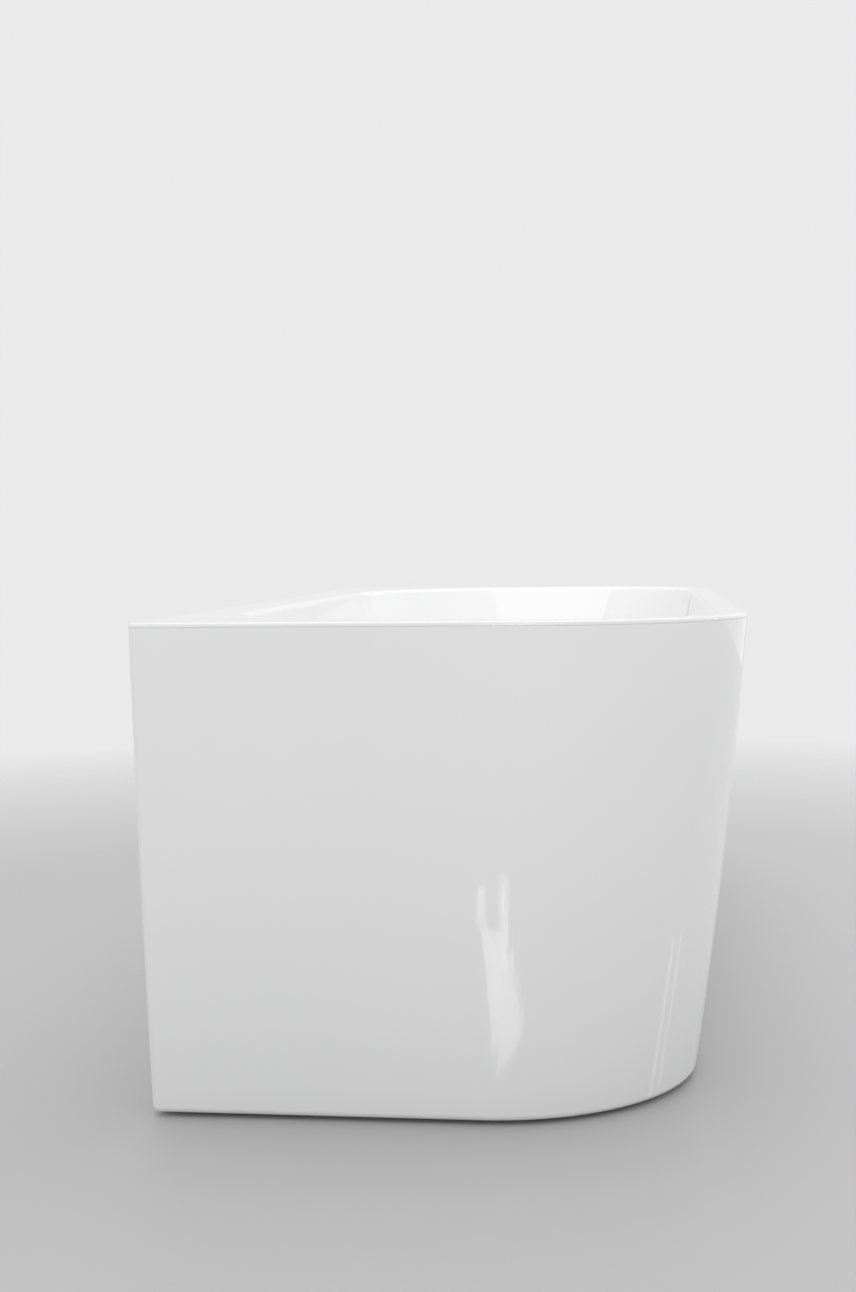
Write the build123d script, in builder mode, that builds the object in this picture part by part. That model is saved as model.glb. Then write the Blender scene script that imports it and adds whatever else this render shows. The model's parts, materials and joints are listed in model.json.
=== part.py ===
from build123d import *
import os
from math import asin, atan2, cos, sin

os.makedirs("parts", exist_ok=True)

# Corner bath, acrylic, with one square wall side and a rounded front.
# X runs across the bath: -X is the flat wall side, +X is the rounded front.
# Y runs along it, and Z is up. The origin is on the floor, under the middle.

# Overall size, with the feet screwed right in
width = 750.0
length = 1700.0
height = 605.0
floor_gap = 5.0

# Outside form: how far each side leans in from rim to base, and how far it
# bulges half way up
wall_lean = 16.0
end_lean = 9.0
front_lean = 67.0
wall_bulge = 1.0
end_bulge = 1.0
front_bulge = 5.0
wall_corner_radius = 10.0
sharpest_corner = 1.0
rim_front_radius = 245.0
base_front_radius = 265.0
base_edge_radius = 8.0
rim_edge_radius = 4.5

# Skirt sheet and its turned-in foot
skirt_thickness = 5.0
skirt_flange = 22.0
flange_bend_radius = 3.0

# Deck widths around the basin, and the basin's corners at the deck
wall_deck = 75.0
front_deck = 35.0
near_deck = 38.0
far_deck = 90.0
basin_wall_radius = 300.0
basin_front_radius = 210.0
lip_radius = 11.0

# Basin: its floor's height above the ground, and how far each wall slopes in
# on the way down
basin_floor = 175.0
wall_slope = 90.0
front_slope = 80.0
near_slope = 190.0
far_slope = 240.0
floor_wall_radius = 165.0
floor_front_radius = 150.0
floor_bend_radius = 70.0
shell_thickness = 6.0

# Stiffeners bonded to the shell and the skirt
board_thickness = 15.0
board_width = 400.0
board_length = 1000.0
board_corner_radius = 40.0
rim_strip_thickness = 12.0
rim_strip_margin = 9.0
rim_strip_length = 820.0
far_strip_length = 300.0
batten_thickness = 12.0
batten_height = 144.0
batten_end_gap = 30.0
bond_gap = 0.3

# Steel frame of square tube
tube = 30.0
tube_wall = 2.0
tube_corner_radius = 3.0
rail_spacing = 300.0
front_rail_length = 1180.0
outer_bar_spacing = 900.0
middle_bar_shift = 130.0
cap_thickness = 3.0
cap_insert = 12.0
cap_clearance = 0.1

# Brackets that hold the skirt to the ends of the tubes
bracket_sheet = 2.5
bracket_leg = 40.0
bracket_foot = 46.0
bracket_width = 72.0
bracket_bend_radius = 1.5
bracket_end_gap = 2.0
bracket_screw_spacing = 52.0
bracket_screw_rise = 12.0
bracket_screw_inset = 27.0

# Screws: shank and head radii, head heights and lengths under the head
screw_radius = 2.0
screw_head_radius = 4.0
screw_head_height = 2.6
wood_screw_length = 12.0
tube_screw_length = 10.0
board_screw_bite = 11.0
board_screw_spacing = 210.0
board_screws_per_rail = 4
screw_clearance = 0.05

# Levelling feet
foot_wall_inset = 70.0
foot_front_inset = 75.0
stud_radius = 6.0
stud_clearance = 0.05
stud_top_margin = 4.0
nut_height = 10.0
nut_across_flats = 18.0
lock_nut_height = 6.0
tube_hole_radius = 7.0
pad_radius = 25.0
pad_height = 14.0
pad_hub_radius = 13.0
pad_hub_height = 24.0
pad_edge_radius = 2.0
pad_floor = 4.0
swivel_radius = 9.0
swivel_height = 5.0
swivel_clearance = 0.1
spanner_hex_across_flats = 14.0
spanner_hex_height = 6.0
spanner_hex_gap = 2.0
stud_tip_chamfer = 1.0

# Waste in the middle of the basin floor
recess_radius = 41.0
recess_depth = 3.0
recess_margin = 5.0
waste_hole_radius = 26.0
board_hole_radius = 55.0
gasket_thickness = 2.0
gasket_inset = 1.0
flange_radius = 35.0
flange_thickness = 2.5
throat_radius = 23.9
throat_bore_radius = 20.5
throat_length = 42.0
thread_clearance = 0.05
bridge_depth = 18.0
bridge_height = 6.0
bridge_arm = 4.0
bridge_root = 0.5
hub_radius = 10.0
cartridge_radius = 7.0
cartridge_length = 42.0
cartridge_collar = 1.5
cartridge_collar_radius = 9.0
cartridge_floor = 3.0

# Plug, raised
plug_travel = 9.0
plug_radius = 31.0
plug_edge = 3.0
plug_rise = 5.0
plug_boss_radius = 8.0
seal_radius = 24.5
seal_thickness = 3.0
seal_edge_gap = 1.0
seal_bore_clearance = 0.1
seat_gap = 0.3
spindle_radius = 4.0
spindle_clearance = 0.05
spindle_length = 52.0
spindle_thread = 3.0
spindle_collar_radius = 10.0
spindle_collar = 1.5

# Waste body under the shell
body_flange_radius = 43.0
body_flange_height = 5.0
body_wall = 4.0
body_chamber_radius = 27.0
body_thread_depth = 26.0
body_depth = 88.0
body_cone_height = 12.0
outlet_radius = 20.0
outlet_wall = 2.5
outlet_length = 30.0
inlet_drop = 59.0
inlet_reach = 58.0
body_flange_edge = 1.5

# Overflow in the wall side, and its pipe to the waste
overflow_drop = 70.0
overflow_hole_radius = 24.0
overflow_neck_radius = 22.0
overflow_neck_wall = 2.5
overflow_ring_radius = 32.0
overflow_ring_thickness = 3.0
overflow_seal_thickness = 3.0
overflow_elbow_radius = 27.0
overflow_elbow_wall = 3.0
overflow_elbow_flange = 4.0
overflow_elbow_depth = 46.0
overflow_neck_length = 22.0
overflow_pipe_offset = 32.0
overflow_bridge_height = 4.0
cover_radius = 36.0
cover_thickness = 3.0
cover_lip = 4.0
cover_standoff = 8.0
cover_edge_radius = 2.0
cover_stem_radius = 6.0
cover_stem_clearance = 0.05
cover_stem_reach = 10.0
cover_hub_radius = 10.0
pipe_radius = 16.0
pipe_wall = 2.0
pipe_bend_radius = 60.0
pipe_insert = 14.0
pipe_clearance = 0.1
socket_wall = 4.4
socket_length = 52.0
pipe_nut_wall = 4.0
pipe_nut_height = 16.0
pipe_nut_lip = 4.0
pipe_nut_grips = 10
pipe_nut_grip_radius = 2.5
pipe_seal_thickness = 2.0

# Heights of the deck's sheet, and of what is stacked under the basin floor
deck_underside = height - shell_thickness
basin_depth = height - basin_floor
shell_bottom = basin_floor - shell_thickness
board_bottom = shell_bottom - board_thickness
rail_bottom = board_bottom - tube
bar_bottom = rail_bottom - tube
recess_floor = basin_floor - recess_depth
recess_bottom = recess_floor - shell_thickness
mid_height = (height + floor_gap) / 2

# The basin's opening in the deck and its floor, seen from above
basin_left = -width / 2 + wall_deck
basin_right = width / 2 - front_deck
basin_near = -length / 2 + near_deck
basin_far = length / 2 - far_deck
floor_left = basin_left + wall_slope
floor_right = basin_right - front_slope
floor_near = basin_near + near_slope
floor_far = basin_far - far_slope
centre_x = (floor_left + floor_right) / 2
centre_y = (floor_near + floor_far) / 2

rail_xs = (centre_x - rail_spacing / 2, centre_x + rail_spacing / 2)
bar_ys = (
    centre_y - outer_bar_spacing / 2,
    centre_y + middle_bar_shift,
    centre_y + outer_bar_spacing / 2,
)


def rise(z):
    """The share of the skirt's height that z has reached."""
    return (z - floor_gap) / (height - floor_gap)


def bow(z):
    """The share of a side's bulge at height z."""
    return 4 * rise(z) * (1 - rise(z))


def wall_face(z, inset=0.0):
    """Distance of the wall side from the middle plane at height z."""
    return width / 2 - wall_lean * (1 - rise(z)) + wall_bulge * bow(z) - inset


def front_face(z, inset=0.0):
    """Distance of the front from the middle plane at height z."""
    return width / 2 - front_lean * (1 - rise(z)) + front_bulge * bow(z) - inset


def end_face(z, inset=0.0):
    """Distance of either end from the middle plane at height z."""
    return length / 2 - end_lean * (1 - rise(z)) + end_bulge * bow(z) - inset


def outside_section(z, inset=0.0):
    """The bath's outline at height z, drawn in by inset."""
    left, right = -wall_face(z, inset), front_face(z, inset)
    front_radius = base_front_radius + (rim_front_radius - base_front_radius) * rise(z)
    with BuildSketch(Plane.XY.offset(z)) as section:
        with Locations(((left + right) / 2, 0)):
            Rectangle(right - left, 2 * end_face(z, inset))
        fillet(section.vertices().group_by(Axis.X)[0], max(wall_corner_radius - inset, sharpest_corner))
        fillet(section.vertices().group_by(Axis.X)[-1], front_radius - inset)
    return section.sketch


def outside_form(inset, bottom, top, edge_radius=0.0):
    """The bath's outside as a solid between two heights, drawn in by inset."""
    with BuildPart() as form:
        loft(sections=[outside_section(z, inset) for z in (floor_gap, mid_height, height)])
        if bottom > floor_gap:
            split(bisect_by=Plane.XY.offset(bottom), keep=Keep.TOP)
        if top < height:
            split(bisect_by=Plane.XY.offset(top), keep=Keep.BOTTOM)
        if edge_radius:
            fillet(form.faces().sort_by(Axis.Z)[0].edges(), edge_radius)
    return form.part


def basin_section(z, left, right, near, far, wall_radius, front_radius):
    """One outline of the basin: large corners on the wall side, smaller in front."""
    with BuildSketch(Plane.XY.offset(z)) as section:
        with Locations(((left + right) / 2, (near + far) / 2)):
            Rectangle(right - left, far - near)
        fillet(section.vertices().group_by(Axis.X)[0], wall_radius)
        fillet(section.vertices().group_by(Axis.X)[-1], front_radius)
    return section.sketch


def basin_form(grow, top):
    """The basin's hollow as a solid, grown by grow and cut off at top."""
    opening = basin_section(
        height,
        basin_left - grow,
        basin_right + grow,
        basin_near - grow,
        basin_far + grow,
        basin_wall_radius + grow,
        basin_front_radius + grow,
    )
    floor = basin_section(
        basin_floor - grow,
        floor_left - grow,
        floor_right + grow,
        floor_near - grow,
        floor_far + grow,
        floor_wall_radius + grow,
        floor_front_radius + grow,
    )
    with BuildPart() as form:
        loft(sections=[floor, opening])
        if top < height:
            split(bisect_by=Plane.XY.offset(top), keep=Keep.BOTTOM)
        fillet(form.faces().sort_by(Axis.Z)[0].edges(), floor_bend_radius + grow)
    return form.part


# Overflow plane: its origin is on the basin's wall side, and its Z axis
# points squarely into the basin
wall_angle = atan2(wall_slope, basin_depth)
overflow_z = height - overflow_drop
overflow_x = basin_left + wall_slope * overflow_drop / basin_depth
overflow_plane = Plane(
    origin=(overflow_x, centre_y, overflow_z),
    x_dir=(0, 1, 0),
    z_dir=(cos(wall_angle), 0, sin(wall_angle)),
)


def over_wall(distance):
    """The overflow plane moved along its axis, into the basin if positive."""
    return overflow_plane.offset(distance)


# Inner shell: deck and basin in one sheet
with BuildPart() as inner_shell:
    add(outside_form(0.0, deck_underside, height))
    fillet(inner_shell.faces().sort_by(Axis.Z)[-1].edges(), rim_edge_radius)
    add(basin_form(shell_thickness, deck_underside))
    with BuildSketch(Plane.XY.offset(recess_bottom)):
        with Locations((centre_x, centre_y)):
            Circle(recess_radius + recess_margin)
    extrude(amount=shell_bottom - recess_bottom)
    add(basin_form(0.0, height), mode=Mode.SUBTRACT)
    lip = inner_shell.faces().filter_by(Axis.Z).sort_by(Axis.Z)[-1].inner_wires()[0]
    fillet(lip.edges(), lip_radius)
    with BuildSketch(Plane.XY.offset(recess_floor)):
        with Locations((centre_x, centre_y)):
            Circle(recess_radius)
    extrude(amount=recess_depth, mode=Mode.SUBTRACT)
    with BuildSketch(Plane.XY.offset(recess_bottom)):
        with Locations((centre_x, centre_y)):
            Circle(waste_hole_radius)
    extrude(amount=basin_floor - recess_bottom, mode=Mode.SUBTRACT)
    with BuildSketch(overflow_plane):
        Circle(overflow_hole_radius)
    extrude(amount=2 * shell_thickness, both=True, mode=Mode.SUBTRACT)
inner_shell.part.label = "inner_shell"

# Outer skirt: one sheet all round, with its foot turned in
with BuildPart() as outer_skirt:
    add(outside_form(0.0, floor_gap, deck_underside, base_edge_radius))
    add(
        outside_form(
            skirt_thickness, floor_gap + skirt_thickness, deck_underside, flange_bend_radius
        ),
        mode=Mode.SUBTRACT,
    )
    add(outside_section(floor_gap, skirt_flange))
    extrude(amount=skirt_thickness, mode=Mode.SUBTRACT)
outer_skirt.part.label = "outer_skirt"

# Strips bonded under the two wide stretches of the deck
strip_bottom = deck_underside - rim_strip_thickness
strip_left = -wall_face(strip_bottom, skirt_thickness + rim_strip_margin)
strip_right = basin_left - shell_thickness - rim_strip_margin
strip_near = basin_far + shell_thickness + rim_strip_margin
strip_far = end_face(strip_bottom, skirt_thickness + rim_strip_margin)
with BuildPart() as rim_strips:
    with BuildSketch(Plane.XY.offset(strip_bottom)):
        with Locations(((strip_left + strip_right) / 2, centre_y)):
            Rectangle(strip_right - strip_left, rim_strip_length)
        with Locations((centre_x, (strip_near + strip_far) / 2)):
            Rectangle(far_strip_length, strip_far - strip_near)
    extrude(amount=rim_strip_thickness)
rim_strips.part.label = "rim_strips"

# How far in the skirt's battens reach, and where they stop short of its corners
batten_outer = skirt_thickness + bond_gap
batten_inner = batten_outer + batten_thickness
batten_bottom = floor_gap + skirt_thickness + flange_bend_radius + bond_gap
batten_top = batten_bottom + batten_height
wall_corner = wall_lean + batten_inner + batten_end_gap
front_corner_x = front_face(floor_gap) - base_front_radius
front_corner_y = end_face(floor_gap) - base_front_radius

# Where the tubes stop, short of the brackets at their ends
bracket_inset = batten_inner + bond_gap
tube_end_inset = bracket_inset + bracket_sheet + bracket_end_gap
rail_end = end_face(rail_bottom, tube_end_inset)
rail_ends = (
    (-rail_end, rail_end),
    (centre_y - front_rail_length / 2, centre_y + front_rail_length / 2),
)
bar_wall_end = wall_face(bar_bottom, tube_end_inset)
bar_front_end = front_face(bar_bottom, tube_end_inset)

# Each bracket: the way out to its side, that side's face, the underside of
# its tube and the tube's place along the side
bracket_seats = [((-1, 0), wall_face, bar_bottom, y) for y in bar_ys]
bracket_seats += [((1, 0), front_face, bar_bottom, y) for y in bar_ys]
bracket_seats += [((0, side), end_face, rail_bottom, rail_xs[0]) for side in (-1, 1)]


def upright_plane(outward, along):
    """A plane square to one side: its X axis points out and its Y axis up."""
    out_x, out_y = outward
    origin = (abs(out_y) * along, abs(out_x) * along, 0)
    return Plane(origin=origin, x_dir=(out_x, out_y, 0), z_dir=(out_y, -out_x, 0))


def leg_screw_planes(seat):
    """Head seats of the two screws in a bracket's upright leg."""
    (out_x, out_y), face, tube_bottom, along = seat
    tube_top = tube_bottom + tube
    foot = tube_top + bracket_sheet - bracket_foot
    lean = atan2(face(tube_top) - face(foot), tube_top - foot)
    level = foot + bracket_screw_rise
    reach = face(foot, bracket_inset + bracket_sheet) + bracket_screw_rise * sin(lean) / cos(lean)
    heads = (-cos(lean) * out_x, -cos(lean) * out_y, sin(lean))
    sideways = (abs(out_y), abs(out_x))
    planes = []
    for side in (-1, 1):
        place = along + side * bracket_screw_spacing / 2
        origin = (out_x * reach + sideways[0] * place, out_y * reach + sideways[1] * place, level)
        planes.append(Plane(origin=origin, x_dir=(*sideways, 0), z_dir=heads))
    return planes


def tube_screw_plane(seat):
    """Head seat of the screw through a bracket's flat leg into its tube."""
    (out_x, out_y), face, tube_bottom, along = seat
    top = tube_bottom + tube + bracket_sheet
    reach = face(top, bracket_inset) - bracket_screw_inset
    origin = (out_x * reach + abs(out_y) * along, out_y * reach + abs(out_x) * along, top)
    return Plane(origin=origin, z_dir=(0, 0, 1))


def board_screw_plane(x, y):
    """Head seat of a screw from under a rail into the board."""
    return Plane(origin=(x, y, rail_bottom), z_dir=(0, 0, -1))


def screw_holes(planes, depth):
    """Holes for screws of a given length, as solids to cut away."""
    with BuildPart() as holes:
        for plane in planes:
            with BuildSketch(plane):
                Circle(screw_radius + screw_clearance)
            extrude(amount=-depth)
    return holes.part


def screws(planes, depth):
    """Pan-head screws, with their heads on the planes."""
    with BuildPart() as group:
        for plane in planes:
            with BuildSketch(plane):
                Circle(screw_radius)
            extrude(amount=-depth)
            with BuildSketch(plane):
                Circle(screw_head_radius)
            extrude(amount=screw_head_height)
    return group.part


leg_planes = [plane for seat in bracket_seats for plane in leg_screw_planes(seat)]
tube_planes = [tube_screw_plane(seat) for seat in bracket_seats]
first_board_screw = centre_y - board_screw_spacing * (board_screws_per_rail - 1) / 2
board_planes = [
    board_screw_plane(x, first_board_screw + board_screw_spacing * i)
    for x in rail_xs
    for i in range(board_screws_per_rail)
]
board_screw_length = tube + board_screw_bite

leg_holes = screw_holes(leg_planes, wood_screw_length)
tube_holes = screw_holes(tube_planes, tube_screw_length)
board_holes = screw_holes(board_planes, board_screw_length)

# Board bonded under the basin floor, with room for the waste
with BuildPart() as base_board:
    with BuildSketch(Plane.XY.offset(board_bottom)):
        with Locations((centre_x, centre_y)):
            RectangleRounded(board_width, board_length, board_corner_radius)
            Circle(board_hole_radius, mode=Mode.SUBTRACT)
    extrude(amount=board_thickness)
    add(board_holes, mode=Mode.SUBTRACT)
base_board.part.label = "base_board"

# Battens bonded inside the skirt along its four straight stretches
with BuildPart() as skirt_battens:
    add(outside_form(batten_outer, batten_bottom, batten_top))
    add(outside_form(batten_inner, batten_bottom, batten_top), mode=Mode.SUBTRACT)
    with BuildSketch(Plane.XY.offset(batten_bottom)):
        with Locations((-width / 2, -length / 2), (-width / 2, length / 2)):
            Rectangle(2 * wall_corner, 2 * wall_corner)
        with Locations((width / 2, -length / 2), (width / 2, length / 2)):
            Rectangle(2 * (width / 2 - front_corner_x), 2 * (length / 2 - front_corner_y))
    extrude(amount=batten_height, mode=Mode.SUBTRACT)
    add(leg_holes, mode=Mode.SUBTRACT)
skirt_battens.part.label = "skirt_battens"

# Two long rails under the board: the front one stops short of the round corners
with BuildPart() as frame_rails:
    for x, (near_end, far_end) in zip(rail_xs, rail_ends):
        with BuildSketch(Plane.XZ.offset(-near_end - cap_thickness)):
            with Locations((x, rail_bottom + tube / 2)):
                RectangleRounded(tube, tube, tube_corner_radius)
                Rectangle(tube - 2 * tube_wall, tube - 2 * tube_wall, mode=Mode.SUBTRACT)
        extrude(amount=near_end - far_end + 2 * cap_thickness)
    add(board_holes, mode=Mode.SUBTRACT)
    add(tube_holes, mode=Mode.SUBTRACT)
frame_rails.part.label = "frame_rails"

# Three cross bars under the rails, which carry the feet at their ends
foot_xs = (-wall_face(bar_bottom, foot_wall_inset), front_face(bar_bottom, foot_front_inset))
foot_places = [(x, y) for y in bar_ys for x in foot_xs]
with BuildPart() as cross_bars:
    with BuildSketch(Plane.YZ.offset(cap_thickness - bar_wall_end)):
        with Locations(*[(y, bar_bottom + tube / 2) for y in bar_ys]):
            RectangleRounded(tube, tube, tube_corner_radius)
            Rectangle(tube - 2 * tube_wall, tube - 2 * tube_wall, mode=Mode.SUBTRACT)
    extrude(amount=bar_wall_end + bar_front_end - 2 * cap_thickness)
    with BuildSketch(Plane.XY.offset(bar_bottom)):
        with Locations(*foot_places):
            Circle(tube_hole_radius)
    extrude(amount=tube / 2, mode=Mode.SUBTRACT)
    add(tube_holes, mode=Mode.SUBTRACT)
cross_bars.part.label = "cross_bars"


def cap_plane(outward, reach, along, level):
    """The outer face of a tube's end: its Z axis points out of the tube."""
    out_x, out_y = outward
    origin = (out_x * reach + abs(out_y) * along, out_y * reach + abs(out_x) * along, level)
    return Plane(origin=origin, x_dir=(-out_y, out_x, 0), z_dir=(out_x, out_y, 0))


# Plastic caps pushed into the ends of the tubes
cap_planes = [cap_plane((-1, 0), bar_wall_end, y, bar_bottom + tube / 2) for y in bar_ys]
cap_planes += [cap_plane((1, 0), bar_front_end, y, bar_bottom + tube / 2) for y in bar_ys]
for x, (near_end, far_end) in zip(rail_xs, rail_ends):
    cap_planes.append(cap_plane((0, -1), -near_end, x, rail_bottom + tube / 2))
    cap_planes.append(cap_plane((0, 1), far_end, x, rail_bottom + tube / 2))
cap_insert_width = tube - 2 * tube_wall - 2 * cap_clearance
with BuildPart() as tube_caps:
    for plane in cap_planes:
        with BuildSketch(plane):
            RectangleRounded(tube, tube, tube_corner_radius)
        extrude(amount=-cap_thickness)
        with BuildSketch(plane.offset(-cap_thickness)):
            Rectangle(cap_insert_width, cap_insert_width)
        extrude(amount=-cap_insert)
tube_caps.part.label = "tube_caps"

# Folded steel brackets between the tubes' ends and the battens
with BuildPart() as skirt_brackets:
    for outward, face, tube_bottom, along in bracket_seats:
        tube_top = tube_bottom + tube
        leg_top = tube_top + bracket_sheet
        leg_foot = leg_top - bracket_foot
        bend = (face(leg_top, bracket_inset), leg_top)
        inner_bend = (face(tube_top, bracket_inset + bracket_sheet), tube_top)
        with BuildSketch(upright_plane(outward, along)) as bracket_outline:
            with BuildLine():
                Polyline(
                    bend,
                    (bend[0] - bracket_leg, leg_top),
                    (bend[0] - bracket_leg, tube_top),
                    inner_bend,
                    (face(leg_foot, bracket_inset + bracket_sheet), leg_foot),
                    (face(leg_foot, bracket_inset), leg_foot),
                    close=True,
                )
            make_face()
            corners = bracket_outline.vertices()
            fillet(corners.sort_by_distance(bend)[0], bracket_bend_radius + bracket_sheet)
            corners = bracket_outline.vertices()
            fillet(corners.sort_by_distance(inner_bend)[0], bracket_bend_radius)
        extrude(amount=bracket_width / 2, both=True)
    add(leg_holes, mode=Mode.SUBTRACT)
    add(tube_holes, mode=Mode.SUBTRACT)
skirt_brackets.part.label = "skirt_brackets"

with BuildPart() as bracket_wood_screws:
    add(screws(leg_planes, wood_screw_length))
bracket_wood_screws.part.label = "bracket_wood_screws"

with BuildPart() as bracket_tube_screws:
    add(screws(tube_planes, tube_screw_length))
bracket_tube_screws.part.label = "bracket_tube_screws"

with BuildPart() as board_screws:
    add(screws(board_planes, board_screw_length))
board_screws.part.label = "board_screws"


def hex_nuts(top, thickness):
    """One hexagon nut round each foot's stud, hanging from height top."""
    with BuildPart() as nuts:
        with BuildSketch(Plane.XY.offset(top)):
            with Locations(*foot_places):
                RegularPolygon(nut_across_flats / 2, 6, major_radius=False)
                Circle(stud_radius + stud_clearance, mode=Mode.SUBTRACT)
        extrude(amount=-thickness)
    return nuts.part


# Nuts welded under the bars, and the lock nuts run up against them
with BuildPart() as foot_nuts:
    add(hex_nuts(bar_bottom, nut_height))
foot_nuts.part.label = "foot_nuts"

with BuildPart() as foot_lock_nuts:
    add(hex_nuts(bar_bottom - nut_height, lock_nut_height))
foot_lock_nuts.part.label = "foot_lock_nuts"

# Levelling feet: a threaded stud whose foot turns inside a pad
swivel_bottom = pad_floor + swivel_clearance
socket_top = swivel_bottom + swivel_height + swivel_clearance
stud_top = bar_bottom + tube - tube_wall - stud_top_margin


def foot_pad(x, y):
    """A foot's round plastic pad, with the socket that holds its stud."""
    with BuildPart() as pad:
        with BuildSketch(Plane.XZ) as outline:
            with BuildLine():
                Polyline(
                    (0, 0),
                    (pad_radius, 0),
                    (pad_radius, pad_height / 2),
                    (pad_hub_radius, pad_height),
                    (pad_hub_radius, pad_hub_height),
                    (0, pad_hub_height),
                    close=True,
                )
            make_face()
            fillet(outline.vertices().sort_by_distance((pad_radius, 0))[0], pad_edge_radius)
        revolve(axis=Axis.Z)
        with BuildSketch(Plane.XY.offset(pad_floor)):
            Circle(swivel_radius + swivel_clearance)
        extrude(amount=socket_top - pad_floor, mode=Mode.SUBTRACT)
        with BuildSketch(Plane.XY.offset(pad_floor)):
            Circle(stud_radius + swivel_clearance)
        extrude(amount=pad_hub_height - pad_floor, mode=Mode.SUBTRACT)
    return pad.part.moved(Location((x, y, 0)))


def foot_stud(x, y):
    """A foot's stud: the disc that turns in the pad, a spanner hexagon and the shank."""
    with BuildPart() as stud:
        with BuildSketch(Plane.XY.offset(swivel_bottom)):
            Circle(swivel_radius)
        extrude(amount=swivel_height)
        with BuildSketch(Plane.XY.offset(swivel_bottom)):
            Circle(stud_radius)
        extrude(amount=stud_top - swivel_bottom)
        chamfer(stud.faces().sort_by(Axis.Z)[-1].edges(), stud_tip_chamfer)
        with BuildSketch(Plane.XY.offset(pad_hub_height + spanner_hex_gap)):
            RegularPolygon(spanner_hex_across_flats / 2, 6, major_radius=False)
        extrude(amount=spanner_hex_height)
    return stud.part.moved(Location((x, y, 0)))


foot_parts = {}
for number, (foot_x, foot_y) in enumerate(foot_places, start=1):
    foot_parts[f"foot_pad_{number}"] = foot_pad(foot_x, foot_y)
    foot_parts[f"foot_stud_{number}"] = foot_stud(foot_x, foot_y)

# Waste in the basin floor, from the top down. Outlines are drawn in an
# upright plane through its axis, as distance from the axis and height.
waste_axis = Axis((centre_x, centre_y, 0), (0, 0, 1))
waste_outline = Plane(origin=(centre_x, centre_y, 0), x_dir=(1, 0, 0), z_dir=(0, -1, 0))
flange_bottom = recess_floor + gasket_thickness
flange_top = flange_bottom + flange_thickness
throat_bottom = flange_bottom - throat_length
bridge_top = flange_bottom - bridge_depth
bridge_bottom = bridge_top - bridge_height
cartridge_top = bridge_top + cartridge_collar
cartridge_bottom = cartridge_top - cartridge_length
body_top = recess_bottom - gasket_thickness
body_bottom = body_top - body_depth
outlet_bottom = body_bottom - outlet_length
inlet_z = body_top - inlet_drop

with BuildPart() as waste_top_gasket:
    with BuildSketch(Plane.XY.offset(recess_floor)):
        with Locations((centre_x, centre_y)):
            Circle(flange_radius - gasket_inset)
            Circle(waste_hole_radius, mode=Mode.SUBTRACT)
    extrude(amount=gasket_thickness)
waste_top_gasket.part.label = "waste_top_gasket"

with BuildPart() as waste_lower_gasket:
    with BuildSketch(Plane.XY.offset(body_top)):
        with Locations((centre_x, centre_y)):
            Circle(body_flange_radius - gasket_inset)
            Circle(waste_hole_radius, mode=Mode.SUBTRACT)
    extrude(amount=gasket_thickness)
waste_lower_gasket.part.label = "waste_lower_gasket"

# Chrome flange with its threaded throat and a four-armed bridge inside
with BuildPart() as waste_flange:
    with BuildSketch(waste_outline):
        with BuildLine():
            Polyline(
                (throat_bore_radius, throat_bottom),
                (throat_radius, throat_bottom),
                (throat_radius, flange_bottom),
                (flange_radius, flange_bottom),
                (flange_radius, flange_bottom + flange_thickness / 2),
                (flange_radius - flange_thickness, flange_top),
                (throat_bore_radius + flange_thickness, flange_top),
                (throat_bore_radius, flange_bottom),
                close=True,
            )
        make_face()
    revolve(axis=waste_axis)
    with BuildSketch(Plane.XY.offset(bridge_bottom)):
        with Locations((centre_x, centre_y)):
            Rectangle(2 * (throat_bore_radius + bridge_root), bridge_arm)
            Rectangle(bridge_arm, 2 * (throat_bore_radius + bridge_root))
            Circle(hub_radius)
            Circle(cartridge_radius + thread_clearance, mode=Mode.SUBTRACT)
    extrude(amount=bridge_height)
waste_flange.part.label = "waste_flange"

# Click cartridge screwed into the bridge: the spindle slides in its bore
with BuildPart() as click_cartridge:
    with BuildSketch(waste_outline):
        with BuildLine():
            Polyline(
                (0, cartridge_bottom),
                (cartridge_radius, cartridge_bottom),
                (cartridge_radius, bridge_top),
                (cartridge_collar_radius, bridge_top),
                (cartridge_collar_radius, cartridge_top),
                (spindle_radius + spindle_clearance, cartridge_top),
                (spindle_radius + spindle_clearance, cartridge_bottom + cartridge_floor),
                (0, cartridge_bottom + cartridge_floor),
                close=True,
            )
        make_face()
    revolve(axis=waste_axis)
click_cartridge.part.label = "click_cartridge"

# Plug, drawn raised: it goes down by its travel to close the waste
seal_bottom = flange_top + seat_gap + plug_travel
seal_top = seal_bottom + seal_thickness
plug_top = seal_top + plug_edge + plug_rise
dome_radius = (plug_radius**2 + plug_rise**2) / (2 * plug_rise)
dome_half_angle = asin(plug_radius / dome_radius) / 2
with BuildPart() as plug_cap:
    with BuildSketch(waste_outline):
        with BuildLine():
            dome = ThreePointArc(
                (plug_radius, seal_top + plug_edge),
                (
                    dome_radius * sin(dome_half_angle),
                    plug_top - dome_radius * (1 - cos(dome_half_angle)),
                ),
                (0, plug_top),
            )
            Polyline(
                dome @ 1,
                (0, seal_top + spindle_thread),
                (spindle_radius + spindle_clearance, seal_top + spindle_thread),
                (spindle_radius + spindle_clearance, seal_bottom),
                (plug_boss_radius, seal_bottom),
                (plug_boss_radius, seal_top),
                (seal_radius + seal_edge_gap, seal_top),
                (seal_radius + seal_edge_gap, seal_bottom),
                (plug_radius, seal_bottom),
                dome @ 0,
            )
        make_face()
    revolve(axis=waste_axis)
plug_cap.part.label = "plug_cap"

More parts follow.
